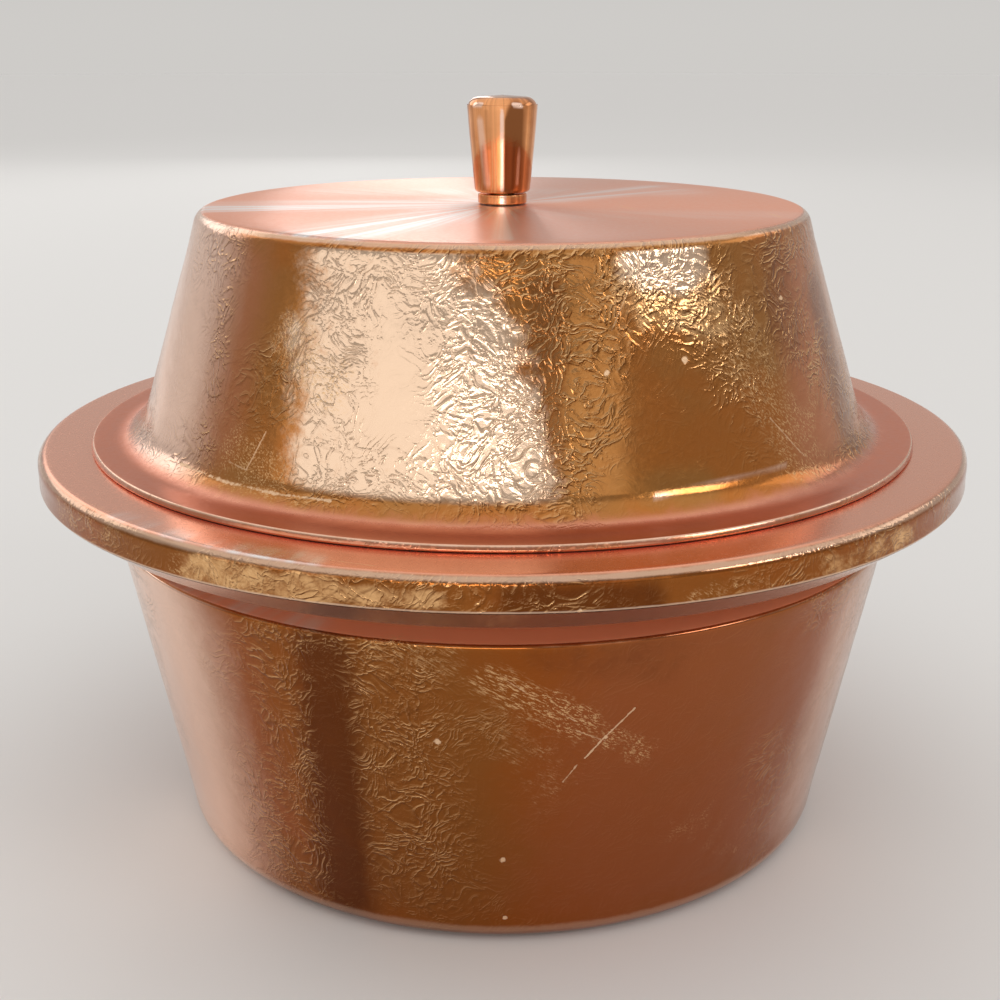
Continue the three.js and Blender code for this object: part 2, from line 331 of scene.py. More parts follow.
# Copper: dull and brown, burnished and pale, or smooth and pink on level faces
copperLook = {"dull": (0.50, 0.17, 0.038), "warm": (0.43, 0.19, 0.055), "ruddy": (0.54, 0.20, 0.095),
              "shade": (0.20, 0.066, 0.020), "goldAndGlint": (0.82, 0.47, 0.21), "burnished": (0.84, 0.60, 0.42),
              "paintedHighlight": (0.98, 0.66, 0.51), "spun": (0.89, 0.83, 0.80), "level": (0.88, 0.40, 0.255),
              "creaseAndShadeDark": (0.17, 0.055, 0.013), "stain": (0.62, 0.225, 0.135), "edge": (0.93, 0.68, 0.50),
              "scuff": (0.84, 0.52, 0.25), "mark": (0.86, 0.58, 0.36), "patchSize": 34 * mm, "brokenSize": 6 * mm,
              "rayWidth": 0.12, "streakSize": 0.45 * mm, "streakStretch": 6, "scuffShare": 0.75,
              "scratchWobble": 2.5, "speckWobble": 1.6, "ringWobble": 0.8, "lineCore": 0.3, "speckCore": 0.5,
              "smooth": (0.09, 0.19), "levelRough": 0.10, "scuffRough": 0.22, "markRough": 0.3, "bump": 0.08 * mm,
              "levelBump": 0.16, "creaseHeight": 0.5, "fineHeight": 0.3, "creaseTint": 0.5, "creaseBright": 0.18,
              "paintedRelief": 5.0, "paintedReliefBurnished": 1.6, "paintedReliefGlint": 0.7, "paintedLightFrom": (-0.45, -0.20, 0.87),
              "wallSlope": (0.36, 0.52), "levelSlope": (0.86, 0.985), "levelFade": (0.80, 0.97),
              "sheen": 0.10, "sheenRough": 0.40, "sheenTint": (1.0, 0.72, 0.60)}


def copperMaterial(name, marks=None, edges=None, stains=None, folds=1.0, bare=0.0, streakTurn=30, anisotropy=0.0,
                   level=copperLook["level"], levelRough=copperLook["levelRough"], levelMetal=1.0,
                   paintedRelief=copperLook["paintedRelief"], tone=(1, 1, 1)):
    tones = {kind: tuple(a * b for a, b in zip(copperLook[kind], tone))
             for kind in ("dull", "warm", "ruddy", "shade")}
    material = bpy.data.materials.new(name)
    material.use_nodes = True
    material.node_tree.nodes.clear()
    wire = Wiring(material.node_tree)
    place = wire.add("ShaderNodeTexCoord").outputs["Object"]
    coords = wire.add("ShaderNodeSeparateXYZ", {0: place}).outputs
    facing = wire.add("ShaderNodeNewGeometry").outputs["Normal"]
    normal = wire.add("ShaderNodeSeparateXYZ", {0: facing}).outputs[2]
    _, ridges, creases = crumpled(wire, place)
    fine = wire.noise(place, crumple["fineSize"], detail=3.0, roughness=0.6).outputs[0]
    patches = wire.noise(place, copperLook["patchSize"], detail=3.0, roughness=0.6, seed=7.0).outputs[0]
    broken = wire.noise(place, copperLook["brokenSize"], detail=4.0, roughness=0.7, seed=2.0).outputs[0]

    def share(kind):
        return wire.add("ShaderNodeAttribute", attribute_name=kind).outputs["Fac"]

    def painted(kind, low=0.35, high=0.75, ragged=0.9):  # a painted patch with a ragged edge
        ragged = wire.calc("MULTIPLY", wire.calc("SUBTRACT", broken, 0.5), ragged)
        return wire.calc("MULTIPLY", wire.ramp(wire.calc("ADD", share(kind), ragged), low, high),
                         wire.ramp(share(kind), 0.02, 0.2))

    def greatest(values):
        value = 0.0
        for extra in values:
            value = wire.calc("MAXIMUM", value, extra)
        return value

    # Height of the bump, and how far it tips each spot towards or away from a fixed light direction, used below for
    # painted shade and painted highlight on the ridges' sides
    onLevel = wire.ramp(wire.calc("ABSOLUTE", normal), *copperLook["levelSlope"])
    lying = wire.ramp(onLevel, 0.0, 1.0, 1.0, copperLook["levelBump"])
    calm = wire.ramp(broken, 0.38, 0.56, 0.25, 1.0)
    folded = wire.calc("MULTIPLY", wire.calc("MULTIPLY", wire.calc("MULTIPLY", lying, folds), share("pressed")), calm)
    height = wire.calc("ADD", ridges, wire.calc("MULTIPLY", creases, copperLook["creaseHeight"]))
    height = wire.calc("ADD", height, wire.calc("MULTIPLY", fine, copperLook["fineHeight"]))
    height = wire.calc("MULTIPLY", height, folded)
    bump = wire.add("ShaderNodeBump", {"Height": height, "Distance": copperLook["bump"], "Strength": 1.0}).outputs[0]
    paintedLitSide = wire.add("ShaderNodeVectorMath", {0: wire.vector("SUBTRACT", bump, facing),
                                             1: copperLook["paintedLightFrom"]}, operation="DOT_PRODUCT").outputs["Value"]
    onWall = wire.ramp(wire.calc("ABSOLUTE", normal), *copperLook["wallSlope"], 1.0, 0.0)
    burnished = wire.calc("MULTIPLY", painted("burnished", 0.25, 0.85, 1.3), onWall)
    paintedLitSide = wire.calc("MULTIPLY", paintedLitSide, wire.ramp(burnished, 0.0, 1.0, paintedRelief, copperLook["paintedReliefBurnished"]))

    # Colour, layer on layer: patches, burnishing, creases, painted shade and highlight on the ridges' sides, and
    # painted glare in rays on level faces
    colour = wire.mix(wire.ramp(patches, 0.46, 0.62, 0.0, 0.6), tones["dull"], tones["warm"])
    for kind, strength in (("warm", 0.85), ("ruddy", 0.85), ("shade", 0.9)):
        colour = wire.mix(wire.calc("MULTIPLY", painted(kind, 0.1, 1.0, 0.6), strength), colour, tones[kind])
    # Painted highlight: a pale colour painted where highlights and pale reflections fall, on edges and glints
    colour = wire.mix(painted("paintedHighlight", 0.0, 1.0, 0.25), colour, copperLook["paintedHighlight"])
    colour = wire.mix(wire.calc("MULTIPLY", painted("goldAndGlint"), onWall), colour, copperLook["goldAndGlint"])
    colour = wire.mix(wire.calc("ADD", burnished, bare, clamp=True), colour, copperLook["burnished"])
    tint = wire.ramp(burnished, 0.0, 1.0, copperLook["creaseTint"], copperLook["creaseBright"])
    tint = wire.calc("MULTIPLY", wire.calc("MULTIPLY", creases, folded), tint)
    colour = wire.mix(tint, colour, copperLook["creaseAndShadeDark"])
    # Painted shade on the sides of the ridges that face away from that light, painted highlight in gold on the sides
    # that face it
    colour = wire.mix(wire.calc("MULTIPLY", paintedLitSide, -1.0, clamp=True), colour, copperLook["creaseAndShadeDark"])
    colour = wire.mix(wire.calc("MULTIPLY", paintedLitSide, copperLook["paintedReliefGlint"], clamp=True), colour, copperLook["goldAndGlint"])
    # Painted glare: pale radial rays on level faces, standing in for the bright fan that spun metal reflects
    outwards = wire.vector("NORMALIZE", wire.add("ShaderNodeCombineXYZ", {0: coords[0], 1: coords[1]}).outputs[0])
    rays = wire.noise(outwards, copperLook["rayWidth"], detail=3.0, roughness=0.7, seed=12.0).outputs[0]
    spun = wire.calc("MULTIPLY", wire.ramp(rays, 0.38, 0.60, 0.15, 1.0), wire.ramp(share("spun"), 0.0, 1.0))
    colour = wire.mix(wire.ramp(normal, *copperLook["levelFade"]), colour, wire.mix(spun, level, copperLook["spun"]))

    # Wear: scuffs, scratches, specks, and rings of stain and of polished edge; the lid's foot lines among the scratches
    # are a painted glint, and the bowl's neck ring is painted light
    streaks = wire.add("ShaderNodeMapping", {"Vector": place, "Rotation": (0, math.radians(streakTurn), 0),
                                             "Scale": (copperLook["streakStretch"], 1, 1)},
                       vector_type="TEXTURE").outputs[0]
    streaks = wire.noise(streaks, copperLook["streakSize"], detail=3.0, roughness=0.75, seed=9.0).outputs[0]
    scuffed = wire.calc("MULTIPLY", wire.ramp(streaks, 0.50, 0.62), painted("scuffed", 0.4, 1.0, 1.4))
    pale = []
    for x0, y0, x1, y1, width, strength in (marks or {}).get("scratches", {}).values():
        start, end = seenAt(x0, y0), seenAt(x1, y1)
        along = end - start
        offset = wire.vector("SUBTRACT", place, tuple(start))
        t = wire.add("ShaderNodeVectorMath", {0: offset, 1: tuple(along / along.length_squared)},
                     operation="DOT_PRODUCT").outputs["Value"]
        t = wire.calc("MINIMUM", wire.calc("MAXIMUM", t, 0.0), 1.0)
        wobble = wire.calc("MULTIPLY", wire.calc("SUBTRACT", fine, 0.5), width * mm * copperLook["scratchWobble"])
        away = wire.calc("ADD", wire.length(offset, wire.scaled(tuple(along), t)), wobble)
        line = wire.ramp(away, width * mm * copperLook["lineCore"], width * mm, 1.0, 0.0)
        pale.append(wire.calc("MULTIPLY", line, strength))
    for x, y, reach in (marks or {}).get("specks", {}).values():
        wobble = wire.calc("MULTIPLY", wire.calc("SUBTRACT", fine, 0.5), reach * mm * copperLook["speckWobble"])
        away = wire.calc("ADD", wire.length(place, tuple(seenAt(x, y))), wobble)
        pale.append(wire.ramp(away, reach * mm * copperLook["speckCore"], reach * mm, 1.0, 0.0))
    pale = greatest(pale)
    radius = wire.length(wire.add("ShaderNodeCombineXYZ", {0: coords[0], 1: coords[1]}).outputs[0])
    section = wire.add("ShaderNodeCombineXYZ", {0: radius, 1: coords[2]}).outputs[0]

    def nearRings(rings):
        near = []
        for ringRadius, height, width, strength in (rings or {}).values():
            away = wire.length(section, (ringRadius * mm, height * mm, 0))
            wobble = wire.calc("MULTIPLY", wire.calc("SUBTRACT", broken, 0.5), width * mm * copperLook["ringWobble"])
            line = wire.ramp(wire.calc("ADD", away, wobble), width * mm * copperLook["lineCore"], width * mm, 1.0, 0.0)
            near.append(wire.calc("MULTIPLY", line, strength))
        return greatest(near)

    colour = wire.mix(wire.calc("MULTIPLY", scuffed, copperLook["scuffShare"]), colour, copperLook["scuff"])
    colour = wire.mix(nearRings(stains), colour, copperLook["stain"])
    # Polished edge rings; the bowl's neck ring in this colour is painted light in the groove
    colour = wire.mix(nearRings(edges), colour, copperLook["edge"])
    colour = wire.mix(pale, colour, copperLook["mark"])

    rough = wire.ramp(fine, 0.2, 0.8, *copperLook["smooth"])
    rough = wire.calc("ADD", rough, wire.calc("MULTIPLY", scuffed, copperLook["scuffRough"]))
    rough = wire.calc("ADD", rough, wire.calc("MULTIPLY", onLevel, levelRough))
    rough = wire.calc("ADD", rough, wire.calc("MULTIPLY", pale, copperLook["markRough"]), clamp=True)

    metal = wire.ramp(normal, *copperLook["levelFade"], 1.0, levelMetal) if levelMetal < 1 else 1.0
    shader = wire.add("ShaderNodeBsdfPrincipled", {"Base Color": colour, "Metallic": metal, "Roughness": rough,
                                                   "Normal": bump, "Anisotropic": anisotropy,
                                                   "Sheen Weight": copperLook["sheen"],
                                                   "Sheen Roughness": copperLook["sheenRough"],
                                                   "Sheen Tint": (*copperLook["sheenTint"], 1)})
    if anisotropy:
        turned = wire.add("ShaderNodeTangent", direction_type="RADIAL", axis="Z").outputs[0]
        wire.tree.links.new(turned, shader.inputs["Tangent"])
    wire.add("ShaderNodeOutputMaterial", {"Surface": shader.outputs[0]})
    return material


# Metals without crumpling: polished copper, tin, wire and brass
plainLook = {"blotchSize": 14 * mm, "streakWidth": 0.22, "paintedStreakDark": 0.35, "shadeDark": 0.34, "bump": 0.02 * mm,
             "bumpStrength": 0.6}


def plainMetal(name, colour, stain, smooth, rough, grain, reflectionStreaks=0.0):
    material = bpy.data.materials.new(name)
    material.use_nodes = True
    material.node_tree.nodes.clear()
    wire = Wiring(material.node_tree)
    place = wire.add("ShaderNodeTexCoord").outputs["Object"]
    blotches = wire.noise(place, plainLook["blotchSize"], detail=5.0, roughness=0.65, seed=4.0).outputs[0]
    fine = wire.noise(place, grain, detail=3.0, roughness=0.6, seed=1.0).outputs[0]
    mixed = wire.mix(wire.ramp(blotches, 0.42, 0.72), colour, stain)
    sides = wire.add("ShaderNodeSeparateXYZ", {0: place}).outputs
    outwards = wire.vector("NORMALIZE", wire.add("ShaderNodeCombineXYZ", {0: sides[0], 1: sides[1]}).outputs[0])
    # Dark vertical streaks round polished copper: a painted reflection of the surroundings
    streaks = wire.noise(outwards, plainLook["streakWidth"], detail=3.0, roughness=0.7, seed=5.0).outputs[0]
    mixed = wire.mix(wire.ramp(streaks, 0.40, 0.62, 0.0, reflectionStreaks), mixed,
                     tuple(plainLook["paintedStreakDark"] * part for part in stain))
    # The shade attribute paints dark reflections and the pale attribute paints highlights onto the piece
    shaded = wire.add("ShaderNodeAttribute", attribute_name="shade").outputs["Fac"]
    mixed = wire.mix(wire.ramp(shaded, 0.2, 0.8), mixed, tuple(plainLook["shadeDark"] * part for part in stain))
    pale = wire.add("ShaderNodeAttribute", attribute_name="paintedHighlight").outputs["Fac"]
    mixed = wire.mix(wire.ramp(pale, 0.2, 0.9), mixed, copperLook["paintedHighlight"])
    roughness = wire.ramp(wire.calc("ADD", blotches, wire.calc("MULTIPLY", fine, 0.4)), 0.4, 1.0, smooth, rough)
    bump = wire.add("ShaderNodeBump", {"Height": fine, "Distance": plainLook["bump"],
                                       "Strength": plainLook["bumpStrength"]}).outputs[0]
    shader = wire.add("ShaderNodeBsdfPrincipled", {"Base Color": mixed, "Metallic": 1.0, "Roughness": roughness,
                                                   "Normal": bump})
    wire.add("ShaderNodeOutputMaterial", {"Surface": shader.outputs[0]})
    return material


polished = plainMetal("polishedCopper", (0.90, 0.40, 0.17), (0.72, 0.26, 0.09), smooth=0.06, rough=0.13,
                      grain=0.9 * mm, reflectionStreaks=0.5)
tinned = plainMetal("wipedTin", (0.62, 0.61, 0.58), (0.42, 0.41, 0.38), smooth=0.24, rough=0.42, grain=1.6 * mm)
wireSteel = plainMetal("drawnWire", (0.32, 0.33, 0.34), (0.16, 0.13, 0.11), smooth=0.3, rough=0.5, grain=0.5 * mm)
turnedBrass = plainMetal("turnedBrass", (0.66, 0.47, 0.17), (0.40, 0.26, 0.09), smooth=0.16, rough=0.32,
                         grain=0.8 * mm)

# Bowl: its sizes, and those of the other pieces, are in millimetres
bowl = {"height": 112.7, "baseRadius": 93.7, "baseFillet": 6.8, "shoulderRadius": 110.6, "shoulderHeight": 88.9,
        "shoulderFillet": 1.2, "shoulderRise": 0.8, "neckRadius": 98.5, "neckFillet": 2.4, "lipHeight": 109.7,
        "lipWidth": 7.5, "sheet": 1.5, "gap": 0.3, "tin": 0.6, "tinDrop": 1.5}


def inMetres(corners):
    return [(radius * mm, height * mm, fillet * mm) for radius, height, fillet in corners]


bowlPath = [(0, 0, 0), (bowl["baseRadius"], 0, bowl["baseFillet"]),
            (bowl["shoulderRadius"], bowl["shoulderHeight"], bowl["shoulderFillet"]),
            (bowl["neckRadius"], bowl["shoulderHeight"] + bowl["shoulderRise"], bowl["neckFillet"])]
shellPath = inMetres([*bowlPath, (bowl["neckRadius"], bowl["lipHeight"], bowl["shoulderFillet"]),
                      (bowl["neckRadius"] + bowl["lipWidth"], bowl["lipHeight"], 0)])
shadedTone = (0.65, 0.51, 0.38)  # the bowl and the flange take darker copper colours than the lid: painted shade on their walls and faces

# Scratches run between two pixels of the photograph, with a width in mm and a strength; a speck has its pixel
# and its reach in mm. Rings of edge or stain have a radius, a height and a width in mm, and a strength.
bowlMarks = {
    "scratches": {"crossTop": (603, 739, 635, 708, 0.28, 0.8), "crossMiddle": (585, 758, 604, 738, 0.32, 0.9),
                  "crossFoot": (563, 782, 577, 765, 0.3, 0.7), "scuffEdge": (505, 680, 575, 721, 0.22, 0.5),
                  "scuffTail": (577, 731, 605, 741, 0.22, 0.4)},
    "specks": {"upper": (437, 742, 1.0), "lower": (503, 860, 1.0), "foot": (505, 918, 0.7),
               "cross": (606, 737, 0.7)}}
# The neck ring paints the neck wall pale inside the groove under the flange: painted light that lifts its shade
bowlEdges = {"shoulder": (bowl["shoulderRadius"], bowl["shoulderHeight"], 0.8, 0.35),
             "foot": (bowl["baseRadius"] + 1, 4, 2.0, 0.25), "paintedLightNeck": (bowl["neckRadius"], 94, 6.0, 1.0)}
bowlFinish = {
    # The pale patch on the shoulder is painted light in the shade under the flange
    "spun": {"shoulderLeft": (172, 590, 300, 625, 7, 0.5)},
    "warm": {"goldBand": (400, 690, 430, 860, 26, 0.9), "leftBand": (270, 640, 300, 800, 9, 0.6)},
    "ruddy": {"right": (690, 680, 650, 840, 34, 0.9), "farRight": (800, 650, 760, 790, 24, 0.9),
              "left": (235, 660, 270, 800, 12, 0.6)},
    # The underFlange shade patch is painted shade under the flange's overhang
    "shade": {"stripe": (322, 655, 345, 890, 9, 0.95), "underFlange": (560, 652, 660, 652, 10, 0.35)},
    # The pale left and right edges of the bowl are painted reflections
    "paintedHighlight": {"leftEdge": (148, 600, 200, 790, 32, 0.9), "rightEdge": (855, 610, 805, 780, 18, 0.45)},
    "scuffed": {"long": (492, 680, 580, 724, 6, 1.0), "below": (505, 725, 545, 780, 10, 0.55),
                "tail": (585, 728, 640, 750, 5, 0.7), "right": (690, 825, 730, 840, 9, 0.5),
                "underFlange": (385, 652, 450, 662, 6, 0.7)},
    "pressed": {"leftBand": (268, 640, 320, 860, 9, 0.9), "goldBand": (380, 680, 430, 860, 18, 0.85),
                "farLeft": (215, 640, 240, 760, 4, 0.35)},
    "flat": {"middle": (560, 680, 560, 880, 22, 0.7), "right": (680, 680, 650, 860, 30, 0.7),
             "left": (165, 605, 220, 790, 13, 0.9), "stripe": (326, 662, 348, 880, 5, 0.75)}}
# The bowl's level faces, chiefly its shoulder under the flange, are paler, rougher and less metallic: painted light
# that lifts the shade under the flange
bowlCopper = copperMaterial("bowlCopper", bowlMarks, bowlEdges, level=(1.0, 0.40, 0.22), levelRough=0.35,
                            levelMetal=0.3, paintedRelief=4.2, tone=shadedTone)
bowlShell = turnedPiece("bowlShell", sheetOutline(shellPath, bowl["sheet"] * mm), False, wrinkled=(1,), fine=(2,))
crumplePiece(bowlShell, bowlCopper)
paintFinish(bowlShell, bowlFinish)
dress(bowlShell, "bowl", "copper", bowlCopper, "bowl_shell")

liningPath = sideways(inMetres([*bowlPath, (bowl["neckRadius"], bowl["height"] - bowl["tinDrop"], 0)]),
                      (bowl["sheet"] + bowl["gap"]) * mm)
bowlLining = turnedPiece("bowlLining", sheetOutline(liningPath, bowl["tin"] * mm), False,
                         sides=turning["hiddenSides"])
dress(bowlLining, "bowl", "tin", tinned, "bowl_lining")
print("bowl made")

# Flange: the plate turned down and hemmed, and the plate that closes it from below
flange = {"radius": 130, "face": 8.4, "fillet": 2.6, "sheet": 1.2, "hemWidth": 6, "hemBend": 0.6, "seamStep": 0.4,
          "seamGap": 0.05, "underRadius": 120.1, "underDrop": 15.5, "underFillet": 1.2, "collar": 6,
          "underSides": 432}
mouthRadius = bowl["neckRadius"] - bowl["sheet"]
hemHeight = bowl["height"] - flange["face"]
platePath = inMetres([(mouthRadius, bowl["height"], 0), (flange["radius"], bowl["height"], flange["fillet"]),
                      (flange["radius"], hemHeight, flange["hemBend"]),
                      (flange["radius"] - flange["hemWidth"], hemHeight, 0)])
flangeMarks = {"scratches": {"topLeft": (330, 560, 375, 566, 0.25, 0.5)}, "specks": {"front": (580, 611, 0.7)}}
flangeEdges = {"rim": (flange["radius"] - 0.7, bowl["height"] - 0.7, 1.1, 0.5),
               "seam": (flange["radius"], hemHeight + 0.3, 0.5, 0.6)}
flangeFinish = {
    # The pale patches on the flange's top are painted glare
    "spun": {"left": (215, 549, 300, 560, 5, 0.9), "far": (120, 520, 180, 540, 5, 0.5)},
    "warm": {"left": (120, 535, 400, 600, 8, 0.9), "front": (430, 604, 520, 606, 8, 0.6),
             "right": (650, 600, 900, 545, 8, 0.7)},
    # The front of the flange's face is painted darker: painted shade for the darker floor it reflects
    "shade": {"front": (520, 605, 640, 603, 6, 0.85)},
    "goldAndGlint": {"left": (190, 566, 330, 592, 5, 0.6), "middle": (330, 592, 440, 600, 3, 0.55),
             "right": (820, 570, 910, 532, 4, 0.5)},
    "scuffed": {"left": (180, 565, 250, 580, 5, 0.8), "right": (700, 600, 760, 590, 5, 0.7),
                "farLeft": (60, 505, 110, 530, 5, 0.7)},
    "pressed": {"left": (215, 575, 460, 604, 8, 0.75), "right": (760, 590, 900, 540, 8, 0.6)}}
flangeCopper = copperMaterial("flangeCopper", flangeMarks, flangeEdges, tone=shadedTone)
flangePlate = turnedPiece("flangePlate", sheetOutline(platePath, -flange["sheet"] * mm), True,
                          wrinkled=(5,), fine=(6,))
crumplePiece(flangePlate, flangeCopper)
paintFinish(flangePlate, flangeFinish)
dress(flangePlate, "bowl", "copper", flangeCopper, "flange_plate")

seamHeight = hemHeight - flange["seamGap"]
hookRadius = flange["radius"] - flange["hemWidth"] - bowl["gap"]
hookHeight = hemHeight + flange["sheet"] + bowl["gap"]
underHeight = bowl["height"] - flange["underDrop"]
underPath = inMetres([(bowl["neckRadius"] + bowl["gap"], underHeight + flange["collar"], 0),
                      (bowl["neckRadius"] + bowl["gap"], underHeight, flange["hemBend"]),
                      (flange["underRadius"], underHeight, flange["underFillet"]),
                      (flange["radius"] - flange["seamStep"], seamHeight, 0), (hookRadius, seamHeight, 0),
                      (hookRadius, hookHeight, 0), (flange["radius"] - flange["sheet"] - bowl["gap"], hookHeight, 0)])
# The underplate is paler all over: painted light that lifts the shade in the groove under the flange
underCopper = copperMaterial("underCopper", folds=0.3, bare=0.25)
flangeUnder = turnedPiece("flangeUnder", sheetOutline(underPath, flange["sheet"] * mm), True, fine=(1, 2),
                          sides=flange["underSides"])
paintFinish(flangeUnder, {})
dress(flangeUnder, "bowl", "copper", underCopper, "flange_underplate")
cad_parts["rim_wire"].data.materials.clear()
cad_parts["rim_wire"].data.materials.append(wireSteel)
print("flange made")

# Lid: at the brim its underside comes down to just above the flange
lid = {"height": 62.2, "topRadius": 83.7, "topFillet": 3.7, "footRadius": 102.8, "footFillet": 9, "brimRadius": 116,
       "brimSlant": 0.8, "brimFillet": 0.5, "brimSag": 0.22, "sheet": 1.5, "bore": 3.3}
brimTop = bowl["height"] + bowl["gap"] + lid["sheet"]
lidTop = bowl["height"] + lid["height"]
lidPath = inMetres([(lid["bore"], lidTop, 0), (lid["topRadius"], lidTop, lid["topFillet"]),
                    (lid["footRadius"], brimTop, lid["footFillet"]),
                    (lid["brimRadius"] - lid["brimSlant"], brimTop, lid["brimFillet"])])
lidUnder = sideways(lidPath, -lid["sheet"] * mm)
lidUnder[-1] = (lid["brimRadius"] * mm, lidUnder[-1][1] - lid["brimSag"] * mm, lid["brimFillet"] * mm)
lidMarks = {
    "scratches": {"rightUpper": (770, 418, 800, 452, 0.3, 0.6), "rightLower": (800, 452, 830, 470, 0.3, 0.6),
                  "zigzagOne": (246, 470, 266, 432, 0.3, 0.6), "zigzagTwo": (230, 462, 246, 470, 0.3, 0.5),
                  "line": (640, 262, 612, 330, 0.2, 0.3), "topMiddle": (620, 206, 634, 209, 0.4, 0.7),
                  # The three foot lines are a painted glint along the foot of the lid's wall, not scratches
                  "topRight": (770, 214, 781, 217, 0.4, 0.7), "footGlintOne": (181, 464, 225, 482, 0.6, 0.9),
                  "footGlintTwo": (225, 482, 275, 494, 0.6, 0.9), "footGlintThree": (275, 494, 330, 501, 0.45, 0.8)},
    "specks": {"right": (685, 360, 1.1), "farRight": (781, 298, 0.9), "middle": (607, 373, 0.8)}}
lidEdges = {"top": (lid["topRadius"] - 0.6, lidTop - 0.8, 1.1, 0.5),
            "brim": (lid["brimRadius"] - 0.6, brimTop, 0.6, 0.7)}
lidStains = {"brim": ((lid["brimRadius"] + lid["footRadius"]) / 2 + 1.5, brimTop, 9.0, 1.0)}
lidFinish = {
    "goldAndGlint": {"belowWindow": (640, 300, 712, 318, 8, 0.62)},
    "warm": {"middle": (575, 260, 590, 480, 12, 0.9), "left": (250, 270, 200, 440, 12, 0.6),
             "right": (690, 250, 780, 330, 16, 0.8), "foot": (400, 490, 700, 490, 6, 0.9)},
    "ruddy": {"left": (240, 280, 215, 420, 12, 0.8), "right": (800, 300, 820, 440, 14, 0.9)},
    "burnished": {"middle": (385, 280, 385, 470, 20, 1.0), "hot": (455, 340, 495, 480, 14, 1.0),
                  "leftMiddle": (350, 330, 340, 460, 14, 0.9), "window": (650, 256, 682, 262, 8, 1.0),
                  "left": (300, 340, 310, 380, 7, 0.6)},
    # The pale left edge of the lid is a painted reflection, and the two foot lines are painted glints
    "paintedHighlight": {"leftEdge": (194, 270, 158, 440, 23, 1.0), "footMiddle": (655, 495, 730, 480, 0.7, 0.65),
              "footRight": (730, 480, 785, 465, 0.7, 0.5)},
    # The pale rays on the lid's top are painted glare
    "spun": {"left": (470, 203, 225, 207, 12, 1.0), "front": (480, 210, 310, 238, 12, 1.0),
             "back": (545, 200, 660, 188, 9, 0.6), "knob": (505, 212, 505, 240, 3, 0.9),
             "right": (560, 215, 780, 215, 12, 0.25), "far": (330, 192, 670, 192, 12, 0.35)},
    # The middle shade band is a painted dark reflection, and the darker right edge is painted shade
    "shade": {"middle": (545, 290, 548, 480, 5, 0.7), "rightEdge": (818, 300, 846, 420, 9, 0.75),
              "rightUpper": (775, 265, 785, 325, 9, 0.5)},
    "scuffed": {"right": (690, 310, 730, 340, 9, 0.7), "lowerLeft": (235, 450, 270, 475, 8, 0.8),
                "left": (295, 340, 325, 385, 8, 0.9), "middle": (615, 290, 640, 330, 8, 0.6),
                "footLeft": (200, 480, 300, 495, 5, 0.6), "lowerRight": (780, 440, 830, 460, 6, 0.5),
                "rightBand": (715, 300, 800, 450, 11, 0.85), "rightLine": (816, 352, 806, 440, 4, 0.8)},
    "pressed": {"leftBand": (232, 262, 200, 470, 4, 0.9), "edge": (350, 262, 330, 460, 9, 0.9),
                "top": (370, 268, 460, 275, 7, 0.9), "low": (330, 470, 520, 480, 8, 1.0),
                "middle": (470, 270, 510, 480, 16, 1.0), "right": (590, 270, 600, 420, 14, 1.0),
                "window": (650, 255, 720, 320, 12, 1.0),
                "foot": (300, 490, 330, 494, 5, 0.8)},
    "flat": {"bright": (415, 330, 390, 430, 9, 0.25), "right": (650, 400, 650, 480, 11, 0.8),
             "left": (180, 280, 165, 420, 12, 0.6)}}
lidCopper = copperMaterial("lidCopper", lidMarks, lidEdges, lidStains, anisotropy=0.75, levelRough=0.20, paintedRelief=7.5)
lidShell = turnedPiece("lidShell", [*lidUnder, *lidPath[::-1]], True, wrinkled=(5,), fine=(4,))
crumplePiece(lidShell, lidCopper)
paintFinish(lidShell, lidFinish)
dress(lidShell, "lid", "copper", lidCopper, "lid_shell")


def wallRadius(height, inset):  # radius of the lid's wall at a height, measured in from its outer face
    slope = (lid["footRadius"] - lid["topRadius"]) / (lidTop - brimTop)
    return lid["footRadius"] - (height - brimTop) * slope - inset * math.hypot(1, slope)


tinFoot = brimTop + lid["footFillet"]
tinPath = sideways(inMetres([(lid["bore"], lidTop, 0), (lid["topRadius"], lidTop, lid["topFillet"]),
                             (wallRadius(tinFoot, 0), tinFoot, 0)]), -(lid["sheet"] + bowl["gap"]) * mm)
lidLining = turnedPiece("lidLining", sheetOutline(tinPath, -bowl["tin"] * mm), True, sides=turning["hiddenSides"])
dress(lidLining, "lid", "tin", tinned, "lid_lining")

# Ring under the lid, which drops into the mouth and keeps the lid centred
ring = {"sheet": 1.2, "play": 1.2, "depth": 8, "stepHeight": 9.5, "lap": 7, "bend": 1}
ringStep = bowl["height"] + ring["stepHeight"]
ringTop = ringStep + ring["lap"]
ringInset = lid["sheet"] + bowl["gap"] + bowl["tin"] + bowl["gap"]
skirtRadius = mouthRadius - bowl["gap"] - bowl["tin"] - ring["play"]
ringPath = inMetres([(wallRadius(ringTop, ringInset), ringTop, 0),
                     (wallRadius(ringStep, ringInset), ringStep, ring["bend"]),
                     (skirtRadius, ringStep, ring["bend"]), (skirtRadius, bowl["height"] - ring["depth"], 0)])
ringCopper = copperMaterial("ringCopper", folds=0.1, bare=0.2)
locatingRing = turnedPiece("locatingRing", sheetOutline(ringPath, -ring["sheet"] * mm), True,
                           sides=turning["hiddenSides"])
paintFinish(locatingRing, {})
dress(locatingRing, "lid", "copper", ringCopper, "locating_ring")
print("lid made")

